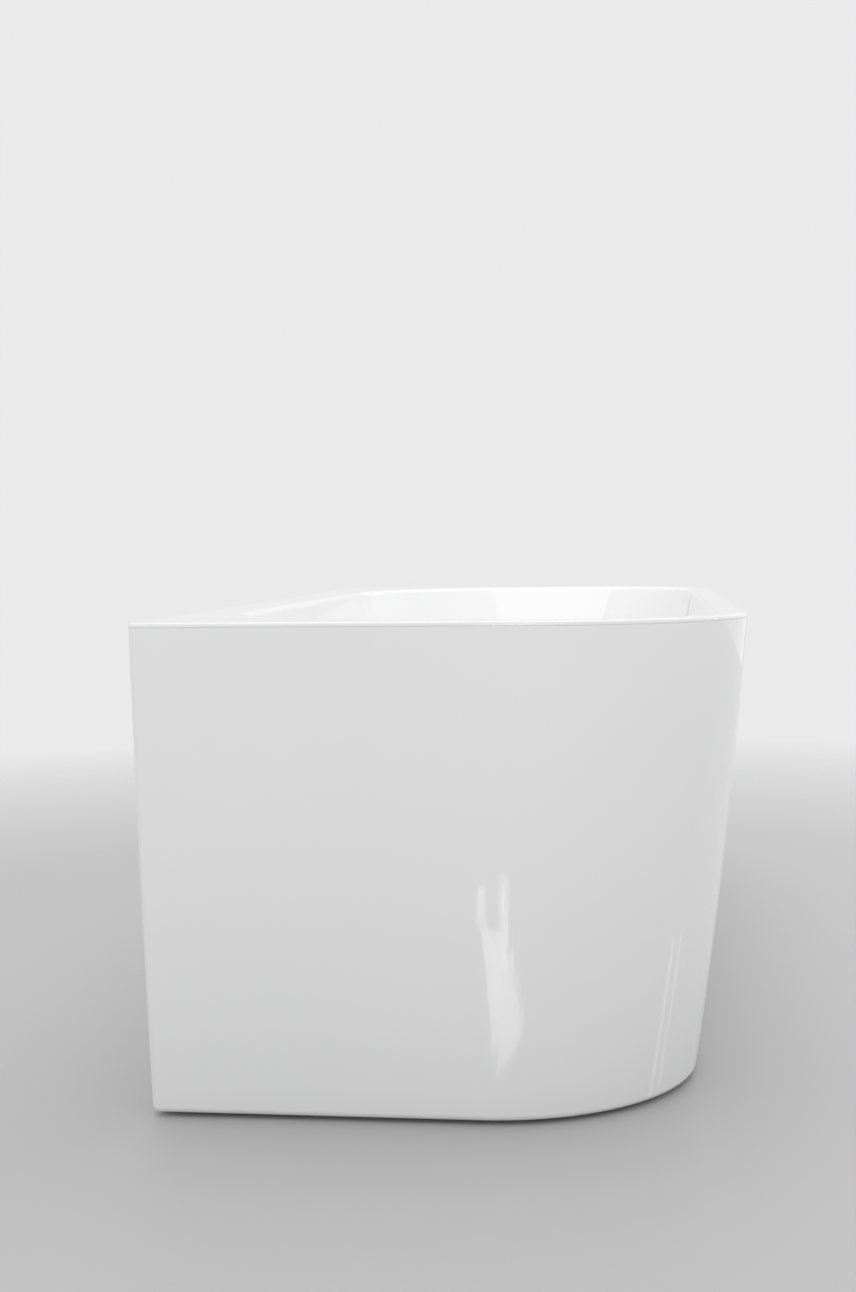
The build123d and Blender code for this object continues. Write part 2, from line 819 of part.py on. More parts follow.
with BuildPart() as plug_seal:
    with BuildSketch(Plane.XY.offset(seal_bottom)):
        with Locations((centre_x, centre_y)):
            Circle(seal_radius)
            Circle(plug_boss_radius + seal_bore_clearance, mode=Mode.SUBTRACT)
    extrude(amount=seal_thickness)
plug_seal.part.label = "plug_seal"

with BuildPart() as plug_spindle:
    with BuildSketch(Plane.XY.offset(seal_top + spindle_thread - seat_gap)):
        with Locations((centre_x, centre_y)):
            Circle(spindle_radius)
    extrude(amount=-(spindle_length + seal_thickness + spindle_thread - seat_gap))
    with BuildSketch(Plane.XY.offset(seal_bottom)):
        with Locations((centre_x, centre_y)):
            Circle(spindle_collar_radius)
    extrude(amount=-spindle_collar)
plug_spindle.part.label = "plug_spindle"

# Waste body: a cup that the throat screws into, with a side inlet for the
# overflow pipe and a straight outlet below
inlet_plane = Plane(
    origin=(centre_x, centre_y, inlet_z), x_dir=(0, 1, 0), z_dir=(-1, 0, 0)
)
socket_bore_radius = pipe_radius + pipe_clearance
socket_radius = socket_bore_radius + socket_wall
pipe_bore_radius = pipe_radius - pipe_wall
cup_radius = body_chamber_radius + body_wall
thread_bore_radius = throat_radius + thread_clearance
with BuildPart() as waste_body:
    with BuildSketch(waste_outline):
        with BuildLine():
            Polyline(
                (0, outlet_bottom),
                (outlet_radius, outlet_bottom),
                (outlet_radius, body_bottom),
                (cup_radius, body_bottom + body_cone_height),
                (cup_radius, body_top - body_flange_height),
                (body_flange_radius, body_top - body_flange_height),
                (body_flange_radius, body_top - body_flange_edge),
                (body_flange_radius - body_flange_edge, body_top),
                (0, body_top),
                close=True,
            )
        make_face()
    revolve(axis=waste_axis)
    with BuildSketch(inlet_plane):
        Circle(socket_radius)
    extrude(amount=inlet_reach)
    with BuildSketch(waste_outline):
        with BuildLine():
            Polyline(
                (0, outlet_bottom),
                (outlet_radius - outlet_wall, outlet_bottom),
                (outlet_radius - outlet_wall, body_bottom),
                (body_chamber_radius, body_bottom + body_cone_height),
                (body_chamber_radius, body_top - body_thread_depth),
                (thread_bore_radius, body_top - body_thread_depth),
                (thread_bore_radius, body_top),
                (0, body_top),
                close=True,
            )
        make_face()
    revolve(axis=waste_axis, mode=Mode.SUBTRACT)
    with BuildSketch(inlet_plane):
        Circle(pipe_bore_radius)
    extrude(amount=inlet_reach, mode=Mode.SUBTRACT)
    with BuildSketch(inlet_plane.offset(inlet_reach)):
        Circle(socket_bore_radius)
    extrude(amount=-pipe_insert, mode=Mode.SUBTRACT)
waste_body.part.label = "waste_body"

# Overflow, from inside the basin outwards
ring_face = over_wall(0)
wall_back = -shell_thickness - bond_gap
elbow_face = wall_back - overflow_seal_thickness
elbow_back = elbow_face - overflow_elbow_depth
with BuildPart() as overflow_ring:
    with BuildSketch(ring_face):
        Circle(overflow_ring_radius)
        Circle(overflow_neck_radius - overflow_neck_wall, mode=Mode.SUBTRACT)
    extrude(amount=overflow_ring_thickness)
    rims = overflow_ring.edges().filter_by(GeomType.CIRCLE).group_by(SortBy.RADIUS)[-1]
    front_rim = rims.sort_by(lambda edge: overflow_plane.to_local_coords(edge.center()).Z)[-1]
    fillet(front_rim, overflow_ring_thickness / 2)
    with BuildSketch(ring_face):
        Circle(overflow_neck_radius)
        Circle(overflow_neck_radius - overflow_neck_wall, mode=Mode.SUBTRACT)
    extrude(amount=-overflow_neck_length)
    with BuildSketch(ring_face):
        Rectangle(2 * overflow_neck_radius - overflow_neck_wall, bridge_arm)
        Rectangle(bridge_arm, 2 * overflow_neck_radius - overflow_neck_wall)
        Circle(cover_hub_radius)
        Circle(cover_stem_radius + cover_stem_clearance, mode=Mode.SUBTRACT)
    extrude(amount=-overflow_bridge_height)
overflow_ring.part.label = "overflow_ring"

with BuildPart() as overflow_seal:
    with BuildSketch(over_wall(wall_back)):
        Circle(overflow_ring_radius - gasket_inset)
        Circle(overflow_hole_radius, mode=Mode.SUBTRACT)
    extrude(amount=-overflow_seal_thickness)
overflow_seal.part.label = "overflow_seal"

# Round cover that stands off the wall on its stem, with its edge turned in
cover_back = overflow_ring_thickness + cover_standoff
with BuildPart() as overflow_cover:
    with BuildSketch(over_wall(cover_back - cover_lip)):
        Circle(cover_radius)
    extrude(amount=cover_lip + cover_thickness)
    front_edge = overflow_cover.edges().sort_by(
        lambda edge: overflow_plane.to_local_coords(edge.center()).Z
    )[-1]
    fillet(front_edge, cover_edge_radius)
    with BuildSketch(over_wall(cover_back - cover_lip)):
        Circle(cover_radius - cover_thickness)
    extrude(amount=cover_lip, mode=Mode.SUBTRACT)
    with BuildSketch(over_wall(cover_back)):
        Circle(cover_stem_radius)
    extrude(amount=-(cover_back + cover_stem_reach))
overflow_cover.part.label = "overflow_cover"

# Elbow behind the wall: a round box whose socket points down along the wall
elbow_socket = Plane(
    origin=overflow_plane.from_local_coords((0, 0, -overflow_pipe_offset)),
    x_dir=(0, 1, 0),
    z_dir=(sin(wall_angle), 0, -cos(wall_angle)),
)
with BuildPart() as overflow_elbow:
    with BuildSketch(over_wall(elbow_face)):
        Circle(overflow_ring_radius)
    extrude(amount=-overflow_elbow_flange)
    with BuildSketch(over_wall(elbow_face)):
        Circle(overflow_elbow_radius)
    extrude(amount=-overflow_elbow_depth)
    with BuildSketch(elbow_socket):
        Circle(socket_radius)
    extrude(amount=socket_length)
    with BuildSketch(over_wall(elbow_face)):
        Circle(overflow_neck_radius + thread_clearance)
    extrude(amount=overflow_elbow_wall - overflow_elbow_depth, mode=Mode.SUBTRACT)
    with BuildSketch(elbow_socket):
        Circle(pipe_bore_radius)
    extrude(amount=socket_length, mode=Mode.SUBTRACT)
    with BuildSketch(elbow_socket.offset(socket_length)):
        Circle(socket_bore_radius)
    extrude(amount=-pipe_insert, mode=Mode.SUBTRACT)
overflow_elbow.part.label = "overflow_elbow"

# Pipe down behind the basin and in under it to the waste body
pipe_start = elbow_socket.offset(socket_length - pipe_insert).origin
pipe_corner_x = pipe_start.X + (pipe_start.Z - inlet_z) * sin(wall_angle) / cos(wall_angle)
pipe_end = (centre_x - inlet_reach + pipe_insert, centre_y, inlet_z)
with BuildPart() as overflow_pipe:
    with BuildLine() as pipe_path:
        FilletPolyline(
            (pipe_start.X, pipe_start.Y, pipe_start.Z),
            (pipe_corner_x, centre_y, inlet_z),
            pipe_end,
            radius=pipe_bend_radius,
        )
    with BuildSketch(elbow_socket.offset(socket_length - pipe_insert)):
        Circle(pipe_radius)
        Circle(pipe_bore_radius, mode=Mode.SUBTRACT)
    sweep(path=pipe_path.wires()[0])
overflow_pipe.part.label = "overflow_pipe"

# Nuts and seals that join the pipe to the two sockets
mouths = (elbow_socket.offset(socket_length), inlet_plane.offset(inlet_reach))
pipe_nut_radius = socket_radius + thread_clearance + pipe_nut_wall
pipe_nut_mouth = pipe_nut_lip + pipe_seal_thickness
with BuildPart() as pipe_nuts:
    for mouth in mouths:
        with BuildSketch(mouth.offset(pipe_nut_mouth)):
            Circle(pipe_nut_radius)
            with PolarLocations(pipe_nut_radius + pipe_nut_grip_radius / 2, pipe_nut_grips):
                Circle(pipe_nut_grip_radius, mode=Mode.SUBTRACT)
        extrude(amount=-pipe_nut_height)
        with BuildSketch(mouth.offset(pipe_seal_thickness)):
            Circle(socket_radius + thread_clearance)
        extrude(amount=pipe_nut_mouth - pipe_nut_height - pipe_seal_thickness, mode=Mode.SUBTRACT)
        with BuildSketch(mouth.offset(pipe_nut_mouth)):
            Circle(pipe_radius + pipe_clearance)
        extrude(amount=-pipe_nut_height, mode=Mode.SUBTRACT)
pipe_nuts.part.label = "pipe_nuts"

with BuildPart() as pipe_seals:
    for mouth in mouths:
        with BuildSketch(mouth):
            Circle(socket_radius)
            Circle(pipe_radius + pipe_clearance, mode=Mode.SUBTRACT)
        extrude(amount=pipe_seal_thickness)
pipe_seals.part.label = "pipe_seals"

pieces = (
    inner_shell,
    outer_skirt,
    base_board,
    rim_strips,
    skirt_battens,
    frame_rails,
    cross_bars,
    tube_caps,
    skirt_brackets,
    bracket_wood_screws,
    bracket_tube_screws,
    board_screws,
    foot_nuts,
    foot_lock_nuts,
    waste_top_gasket,
    waste_lower_gasket,
    waste_flange,
    click_cartridge,
    plug_cap,
    plug_seal,
    plug_spindle,
    waste_body,
    overflow_ring,
    overflow_seal,
    overflow_cover,
    overflow_elbow,
    overflow_pipe,
    pipe_nuts,
    pipe_seals,
)
for piece in pieces:
    export_step(piece.part, f"parts/{piece.part.label}.step")
for name, foot_part in foot_parts.items():
    foot_part.label = name
    export_step(foot_part, f"parts/{name}.step")
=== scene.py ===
"""Corner bath: moulded shells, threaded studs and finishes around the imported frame. Metres, +Z up."""

import json
import math

import bpy
import numpy as np
from mathutils import Matrix, Vector


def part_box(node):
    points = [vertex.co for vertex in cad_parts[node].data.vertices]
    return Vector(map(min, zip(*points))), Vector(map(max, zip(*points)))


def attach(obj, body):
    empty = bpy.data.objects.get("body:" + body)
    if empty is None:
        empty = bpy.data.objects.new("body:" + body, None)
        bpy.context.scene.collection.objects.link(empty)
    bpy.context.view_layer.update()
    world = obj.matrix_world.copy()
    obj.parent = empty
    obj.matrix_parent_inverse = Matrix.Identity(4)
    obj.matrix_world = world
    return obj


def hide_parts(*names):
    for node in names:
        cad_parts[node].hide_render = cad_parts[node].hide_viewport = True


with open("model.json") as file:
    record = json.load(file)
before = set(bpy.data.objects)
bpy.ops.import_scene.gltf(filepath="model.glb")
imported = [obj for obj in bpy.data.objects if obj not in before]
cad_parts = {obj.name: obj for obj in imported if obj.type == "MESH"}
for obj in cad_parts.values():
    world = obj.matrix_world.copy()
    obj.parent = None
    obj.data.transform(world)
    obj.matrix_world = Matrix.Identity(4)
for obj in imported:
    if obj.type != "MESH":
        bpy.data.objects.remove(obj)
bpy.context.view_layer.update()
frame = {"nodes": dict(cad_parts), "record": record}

# Outside form of the bath, as it was designed
WIDTH, LENGTH, HEIGHT, FLOOR_GAP = 0.750, 1.700, 0.605, 0.005
WALL_LEAN, END_LEAN, FRONT_LEAN = 0.016, 0.009, 0.067
WALL_BULGE, END_BULGE, FRONT_BULGE = 0.001, 0.001, 0.005
WALL_CORNER = 0.010
SHARPEST_CORNER = 0.001
RIM_FRONT_CORNER, BASE_FRONT_CORNER = 0.245, 0.265
BASE_EDGE = 0.008
RIM_EDGE = 0.0045
SHEET_EDGE = 0.0007
SKIRT_SHEET, SKIRT_FLANGE, FLANGE_BEND = 0.005, 0.022, 0.003

# Basin
SHELL_SHEET = 0.006
BASIN_DEPTH = 0.430
WALL_DECK, FRONT_DECK, NEAR_DECK, FAR_DECK = 0.075, 0.035, 0.038, 0.090
WALL_SLOPE, FRONT_SLOPE, NEAR_SLOPE, FAR_SLOPE = 0.090, 0.080, 0.190, 0.240
OPENING_CORNERS = (0.300, 0.210)
FLOOR_CORNERS = (0.165, 0.150)
LIP_BEND, FLOOR_BEND = 0.011, 0.070
RECESS_RADIUS, RECESS_DEPTH, RECESS_MARGIN = 0.041, 0.003, 0.005
RECESS_LIP = RECESS_DEPTH / 3
RECESS_ROUND = 0.3 * RECESS_LIP
WASTE_HOLE, OVERFLOW_HOLE = 0.026, 0.024
OVERFLOW_DROP = 0.070
DECK_UNDERSIDE = HEIGHT - SHELL_SHEET
BASIN_FLOOR = HEIGHT - BASIN_DEPTH

# Left, right, near and far sides of the basin at the rim and at its floor, and the waste between
OPENING = (-WIDTH / 2 + WALL_DECK, WIDTH / 2 - FRONT_DECK, -LENGTH / 2 + NEAR_DECK, LENGTH / 2 - FAR_DECK)
FLOOR = (OPENING[0] + WALL_SLOPE, OPENING[1] - FRONT_SLOPE, OPENING[2] + NEAR_SLOPE, OPENING[3] - FAR_SLOPE)
WASTE_X = (FLOOR[0] + FLOOR[1]) / 2
WASTE_Y = (FLOOR[2] + FLOOR[3]) / 2

# Studs of the feet: M12 thread, and the hexagon for the spanner
FEET = 6
STUD_RADIUS, STUD_EDGE, STUD_TIP = 0.006, 0.0004, 0.001
DISC_HEIGHT = 0.005
HEXAGON_LOW, HEXAGON_HIGH = 0.026, 0.032
HEXAGON_FLATS, HEXAGON_CHAMFER = 0.014, 0.0075
THREAD_PITCH, THREAD_DEPTH = 0.00175, 0.00107
FLANK_SLOPE, CREST_FLAT = 1.25, 0.12

# How finely the pieces are divided
STRAIGHT_STEPS = 20
CORNER_STEPS = 40
BEND_STEPS = 8
SHEET_EDGE_STEPS = 3
FLANGE_STEPS = 4
WALL_ROWS = 24
DECK_ROWS = 4
DRILL_SIDES = 96
STUD_SIDES = 24
THREAD_ROWS = 8

# Smoothing: edges above this angle stay sharp, and points nearer than this are joined
SHARP_ANGLE = math.radians(28)
MERGE_DISTANCE = 1e-6


def outline(left, right, near, far, wall_corner, front_corner):
    """A rounded rectangle from above: its points, and its outward direction at each."""
    corners = (
        (left + wall_corner, near + wall_corner, wall_corner, math.pi),
        (right - front_corner, near + front_corner, front_corner, 1.5 * math.pi),
        (right - front_corner, far - front_corner, front_corner, 0.0),
        (left + wall_corner, far - wall_corner, wall_corner, 0.5 * math.pi),
    )
    points, normals = [], []
    for (x, y, radius, first), (next_x, next_y, next_radius, _) in zip(corners, corners[1:] + corners[:1]):
        for step in range(CORNER_STEPS + 1):
            angle = first + 0.5 * math.pi * step / CORNER_STEPS
            normals.append((math.cos(angle), math.sin(angle)))
            points.append((x + radius * normals[-1][0], y + radius * normals[-1][1]))
        from_x, from_y = points[-1]
        to_x = next_x + next_radius * normals[-1][0]
        to_y = next_y + next_radius * normals[-1][1]
        for step in range(1, STRAIGHT_STEPS):
            share = (1 - math.cos(math.pi * step / STRAIGHT_STEPS)) / 2
            normals.append(normals[-1])
            points.append((from_x + (to_x - from_x) * share, from_y + (to_y - from_y) * share))
    return np.array(points), np.array(normals)


def with_height(points, z):
    return np.column_stack([points, np.full(len(points), z)])


def round_ring(x, y, radius, angles, z):
    """Points about an upright axis at the given angles, with one radius or one for each."""
    return with_height(np.column_stack([x + radius * np.cos(angles), y + radius * np.sin(angles)]), z)


def outside(z, inset):
    """One ring of the bath's outside at height z, drawn in by inset."""
    rise = (z - FLOOR_GAP) / (HEIGHT - FLOOR_GAP)
    bow = 4 * rise * (1 - rise)
    wall = WIDTH / 2 - WALL_LEAN * (1 - rise) + WALL_BULGE * bow - inset
    front = WIDTH / 2 - FRONT_LEAN * (1 - rise) + FRONT_BULGE * bow - inset
    end = LENGTH / 2 - END_LEAN * (1 - rise) + END_BULGE * bow - inset
    front_corner = BASE_FRONT_CORNER + (RIM_FRONT_CORNER - BASE_FRONT_CORNER) * rise - inset
    points, _ = outline(-wall, front, -end, end, max(WALL_CORNER - inset, SHARPEST_CORNER), front_corner)
    return with_height(points, z)


def arc(centre, radius, first, last, steps=BEND_STEPS):
    """Points of an arc in a profile of (inset, height), angles in quarter turns."""
    angles = np.linspace(first, last, steps + 1) * math.pi / 2
    return [(centre[0] + radius * math.cos(a), centre[1] + radius * math.sin(a)) for a in angles]


def bend(corner, towards, onwards, radius, steps=BEND_STEPS):
    """Rings that round off a corner ring between the ways in and out of it."""
    a = towards / np.linalg.norm(towards, axis=1, keepdims=True)
    b = onwards / np.linalg.norm(onwards, axis=1, keepdims=True)
    half = np.arccos(np.clip((a * b).sum(1), -1, 1))[:, None] / 2
    middle = (a + b) / np.linalg.norm(a + b, axis=1, keepdims=True)
    centre = corner + middle * radius / np.sin(half)
    side = a - middle * (a * middle).sum(1, keepdims=True)
    side /= np.linalg.norm(side, axis=1, keepdims=True)
    turn = math.pi / 2 - half
    rings = []
    for step in range(steps + 1):
        angle = turn * (1 - 2 * step / steps)
        rings.append(centre - middle * radius * np.cos(angle) + side * radius * np.sin(angle))
    return rings


def between(first, last, rows):
    """Rings that run straight from one ring to another, without the two ends."""
    return [first + (last - first) * step / rows for step in range(1, rows)]


def linked_piece(name, rings, faces):
    """A new piece in the scene, from rings of points and faces that join them."""
    mesh = bpy.data.meshes.new(name)
    mesh.from_pydata(np.concatenate(rings).tolist(), [], faces)
    piece = bpy.data.objects.new(name, mesh)
    bpy.context.scene.collection.objects.link(piece)
    return piece


def shell_mesh(name, rings):
    """A closed sheet from rings that go right round its cross-section."""
    count = len(rings[0])
    faces = []
    for row in range(len(rings)):
        here, there = row * count, (row + 1) % len(rings) * count
        for i in range(count):
            j = (i + 1) % count
            faces.append((here + i, there + i, there + j, here + j))
    piece = linked_piece(name, rings, faces)
    piece.data.shade_smooth()
    return piece


def rod_mesh(name, rings):
    """A closed rod from rings stacked from its lower end to its upper one."""
    count = len(rings[0])
    top = count * (len(rings) - 1)
    faces = [tuple(range(count))[::-1]]
    for here in range(0, top, count):
        for i in range(count):
            j = (i + 1) % count
            faces.append((here + i, here + j, here + count + j, here + count + i))
    faces.append(tuple(range(top, top + count)))
    return linked_piece(name, rings, faces)


def plain_mesh(piece):
    """Takes a piece's modifiers into its mesh."""
    depsgraph = bpy.context.evaluated_depsgraph_get()
    made = bpy.data.meshes.new_from_object(piece.evaluated_get(depsgraph))
    piece.modifiers.clear()
    piece.data = made


def skirt_piece():
    """The outer skirt: one sheet, rounded at its foot and turned in under it."""
    low = FLOOR_GAP + BASE_EDGE
    high = DECK_UNDERSIDE - SHEET_EDGE
    top = FLOOR_GAP + SKIRT_SHEET
    tip = SKIRT_FLANGE - SHEET_EDGE
    profile = arc((SHEET_EDGE, high), SHEET_EDGE, 1, 2, SHEET_EDGE_STEPS)
    profile += [(0.0, high + (low - high) * row / WALL_ROWS) for row in range(1, WALL_ROWS)]
    profile += arc((BASE_EDGE, low), BASE_EDGE, 2, 3)
    profile += arc((tip, FLOOR_GAP + SHEET_EDGE), SHEET_EDGE, 3, 4, SHEET_EDGE_STEPS)
    profile += arc((tip, top - SHEET_EDGE), SHEET_EDGE, 0, 1, SHEET_EDGE_STEPS)
    profile += arc((SKIRT_SHEET + FLANGE_BEND, top + FLANGE_BEND), FLANGE_BEND, 3, 2, FLANGE_STEPS)
    profile += [(SKIRT_SHEET, top + FLANGE_BEND + (high - top - FLANGE_BEND) * row / WALL_ROWS)
                for row in range(1, WALL_ROWS)]
    profile += arc((SKIRT_SHEET - SHEET_EDGE, high), SHEET_EDGE, 0, 1, SHEET_EDGE_STEPS)
    return shell_mesh("skirt_sheet", [outside(z, inset) for inset, z in profile])


def basin_rings(grow, top):
    """Rings of one face of the basin, from a height down to the edge of its flat floor."""
    left, right, near, far = OPENING
    points, out = outline(left - grow, right + grow, near - grow, far + grow,
                          *(radius + grow for radius in OPENING_CORNERS))
    rim = with_height(points, HEIGHT)
    out = with_height(out, 0.0)
    left, right, near, far = FLOOR
    points, floor_out = outline(left - grow, right + grow, near - grow, far + grow,
                                *(radius + grow for radius in FLOOR_CORNERS))
    floor = with_height(points, BASIN_FLOOR - grow)
    floor_out = with_height(floor_out, 0.0)
    down = floor - rim
    turn_in = bend(floor, -down, -floor_out, FLOOR_BEND + grow, 2 * BEND_STEPS)
    if top < HEIGHT:
        share = (HEIGHT - top) / (HEIGHT - BASIN_FLOOR + grow)
        start = [rim + down * share]
    else:
        start = bend(rim, out, down, LIP_BEND)
    return start + between(start[-1], turn_in[0], WALL_ROWS) + turn_in


def circle_ring(ring, radius, z):
    """A circle round the waste, each point facing its point of the ring."""
    angles = np.arctan2(ring[:, 1] - WASTE_Y, ring[:, 0] - WASTE_X)
    return round_ring(WASTE_X, WASTE_Y, radius, angles, z)


def basin_piece():
    """Deck and basin in one sheet, with the waste's recess and hole."""
    edge = arc((SHEET_EDGE, DECK_UNDERSIDE + SHEET_EDGE), SHEET_EDGE, 3, 2, SHEET_EDGE_STEPS)
    edge += arc((RIM_EDGE, HEIGHT - RIM_EDGE), RIM_EDGE, 2, 1)
    rings = [outside(z, inset) for inset, z in edge]
    inner = basin_rings(0.0, HEIGHT)
    rings += between(rings[-1], inner[0], DECK_ROWS) + inner
    recess_z = BASIN_FLOOR - RECESS_DEPTH
    recess_back = recess_z - SHELL_SHEET
    back_radius = RECESS_RADIUS + RECESS_MARGIN
    recess = [(RECESS_RADIUS + RECESS_LIP, BASIN_FLOOR),
              (RECESS_RADIUS + RECESS_ROUND, BASIN_FLOOR - RECESS_ROUND),
              (RECESS_RADIUS, BASIN_FLOOR - RECESS_LIP), (RECESS_RADIUS, recess_z + RECESS_LIP),
              (RECESS_RADIUS - RECESS_ROUND, recess_z + RECESS_ROUND),
              (RECESS_RADIUS - RECESS_LIP, recess_z), (WASTE_HOLE, recess_z),
              (WASTE_HOLE, recess_back), (back_radius, recess_back),
              (back_radius, BASIN_FLOOR - SHELL_SHEET)]
    circles = [circle_ring(inner[-1], radius, z) for radius, z in recess]
    rings += between(inner[-1], circles[0], 2 * DECK_ROWS) + circles
    back = basin_rings(SHELL_SHEET, DECK_UNDERSIDE)
    rings += between(rings[-1], back[-1], DECK_ROWS) + back[::-1]
    rings += between(back[0], rings[0], DECK_ROWS)
    piece = shell_mesh("deck_and_basin", rings)
    overflow_hole(piece)
    return piece


def overflow_hole(piece):
    """Bores the round hole for the overflow through the basin's wall side."""
    slope = math.atan2(WALL_SLOPE, BASIN_DEPTH)
    place = Vector((OPENING[0] + WALL_SLOPE * OVERFLOW_DROP / BASIN_DEPTH, WASTE_Y, HEIGHT - OVERFLOW_DROP))
    way = Vector((math.cos(slope), 0, math.sin(slope)))
    reach = 4 * SHELL_SHEET
    bpy.ops.mesh.primitive_cylinder_add(vertices=DRILL_SIDES, radius=OVERFLOW_HOLE, depth=reach)
    drill = bpy.context.object
    drill.matrix_world = Matrix.Translation(place) @ way.to_track_quat("Z", "Y").to_matrix().to_4x4()
    cut = piece.modifiers.new("hole", "BOOLEAN")
    cut.object, cut.operation, cut.solver = drill, "DIFFERENCE", "EXACT"
    plain_mesh(piece)
    bpy.data.objects.remove(drill)


def threaded_stud(name, low, high):
    """A foot's stud: the disc in its pad, the spanner hexagon and the rolled thread."""
    x, y = (low[0] + high[0]) / 2, (low[1] + high[1]) / 2
    base, tip = low[2], high[2]
    disc, disc_top = (high[0] - low[0]) / 2, base + DISC_HEIGHT
    root = STUD_RADIUS - THREAD_DEPTH
    angles = np.arange(STUD_SIDES) * 2 * math.pi / STUD_SIDES
    sixth = math.pi / 3
    hexagon = HEXAGON_FLATS / 2 / np.cos((angles + sixth / 2) % sixth - sixth / 2)
    chamfered = np.minimum(hexagon, HEXAGON_CHAMFER)
    profile = [(base, disc - STUD_EDGE), (base + STUD_EDGE, disc), (disc_top - STUD_EDGE, disc),
               (disc_top, disc - STUD_EDGE), (disc_top, STUD_RADIUS), (HEXAGON_LOW, STUD_RADIUS),
               (HEXAGON_LOW, chamfered), (HEXAGON_LOW + STUD_EDGE, hexagon),
               (HEXAGON_HIGH - STUD_EDGE, hexagon), (HEXAGON_HIGH, chamfered),
               (HEXAGON_HIGH, STUD_RADIUS)]
    first, last = HEXAGON_HIGH + THREAD_PITCH, tip - STUD_TIP
    for z in np.linspace(first, last, round((last - first) / THREAD_PITCH * THREAD_ROWS)):
        turn = (z / THREAD_PITCH - angles / (2 * math.pi)) % 1
        groove = np.clip(FLANK_SLOPE * np.abs(2 * turn - 1) - CREST_FLAT, 0, 1)
        profile.append((z, STUD_RADIUS - THREAD_DEPTH * groove))
    profile += [(last, root), (tip, root)]
    return rod_mesh(name, [round_ring(x, y, radius, angles, z) for z, radius in profile])


def smooth_by_angle():
    """A node tree that joins a mesh's loose triangles and smooths all but its sharp edges."""
    tree = bpy.data.node_groups.new("smooth_by_angle", "GeometryNodeTree")
    tree.interface.new_socket("Geometry", in_out="INPUT", socket_type="NodeSocketGeometry")
    sharp = tree.interface.new_socket("Sharp above", in_out="INPUT", socket_type="NodeSocketFloat")
    sharp.default_value = SHARP_ANGLE
    tree.interface.new_socket("Geometry", in_out="OUTPUT", socket_type="NodeSocketGeometry")
    nodes, links = tree.nodes, tree.links
    given = nodes.new("NodeGroupInput")
    merge = nodes.new("GeometryNodeMergeByDistance")
    merge.inputs["Distance"].default_value = MERGE_DISTANCE
    smooth = nodes.new("GeometryNodeSetShadeSmooth")
    angle = nodes.new("GeometryNodeInputMeshEdgeAngle")
    compare = nodes.new("FunctionNodeCompare")
    crease = nodes.new("GeometryNodeSetShadeSmooth")
    crease.domain = "EDGE"
    crease.inputs["Shade Smooth"].default_value = False
    result = nodes.new("NodeGroupOutput")
    links.new(given.outputs["Geometry"], merge.inputs["Geometry"])
    links.new(merge.outputs["Geometry"], smooth.inputs["Geometry"])
    links.new(smooth.outputs["Geometry"], crease.inputs["Geometry"])
    links.new(angle.outputs["Unsigned Angle"], compare.inputs["A"])
    links.new(given.outputs["Sharp above"], compare.inputs["B"])
    links.new(compare.outputs["Result"], crease.inputs["Selection"])
    links.new(crease.outputs["Geometry"], result.inputs["Geometry"])
    return tree


class Finish:
    """A material under construction, with the few patterns that the finishes share."""

    def __init__(self, name, settings):
        self.material = bpy.data.materials.new(name)
        self.material.use_nodes = True
        self.tree = self.material.node_tree
        self.shader = self.tree.nodes["Principled BSDF"]
        for socket, value in settings.items():
            self.shader.inputs[socket].default_value = value
        self.place = self.tree.nodes.new("ShaderNodeTexCoord").outputs["Object"]

    def noise(self, size, detail=3.0, stretch=(1, 1, 1)):
        """A cloudy pattern, whose clouds are about size metres across."""
        mapping = self.tree.nodes.new("ShaderNodeMapping")
        mapping.inputs["Scale"].default_value = stretch
        noise = self.tree.nodes.new("ShaderNodeTexNoise")
        noise.inputs["Scale"].default_value = 1 / size
        noise.inputs["Detail"].default_value = detail
        self.tree.links.new(self.place, mapping.inputs["Vector"])
        self.tree.links.new(mapping.outputs["Vector"], noise.inputs["Vector"])
        return noise.outputs["Fac"]

    def ranged(self, pattern, low, high, first=0.3, last=0.7):
        """A pattern's values from first to last, spread from low to high."""
        spread = self.tree.nodes.new("ShaderNodeMapRange")
        for socket, value in zip(("From Min", "From Max", "To Min", "To Max"), (first, last, low, high)):
            spread.inputs[socket].default_value = value
        self.tree.links.new(pattern, spread.inputs["Value"])
        return spread.outputs["Result"]

    def roughness(self, pattern, low, high):
        self.tree.links.new(self.ranged(pattern, low, high), self.shader.inputs["Roughness"])

    def colour(self, pattern, dark, light):
        mix = self.tree.nodes.new("ShaderNodeMix")
        mix.data_type = "RGBA"
        mix.inputs["A"].default_value = (*dark, 1)
        mix.inputs["B"].default_value = (*light, 1)
        self.tree.links.new(self.ranged(pattern, 0, 1), mix.inputs["Factor"])
        colour = next(output for output in mix.outputs if output.type == "RGBA")
        self.tree.links.new(colour, self.shader.inputs["Base Color"])

    def bump(self, pattern, height):
        node = self.tree.nodes.new("ShaderNodeBump")
        node.inputs["Distance"].default_value = height
        self.tree.links.new(pattern, node.inputs["Height"])
        self.tree.links.new(node.outputs["Normal"], self.shader.inputs["Normal"])


def white_acrylic():
    finish = Finish("white_acrylic", {"IOR": 1.49})
    finish.colour(finish.noise(0.35, 2.0), (0.862, 0.864, 0.866), (0.878, 0.878, 0.878))
    finish.roughness(finish.noise(0.12, 4.0), 0.012, 0.030)
    finish.bump(finish.noise(0.16, 1.0), 0.00004)
    return finish.material


def plywood():
    finish = Finish("plywood", {"IOR": 1.45})
    grain = finish.noise(0.02, 6.0, (8, 0.6, 8))
    finish.colour(grain, (0.42, 0.26, 0.13), (0.66, 0.48, 0.28))
    finish.roughness(grain, 0.72, 0.55)
    finish.bump(grain, 0.0004)
    return finish.material


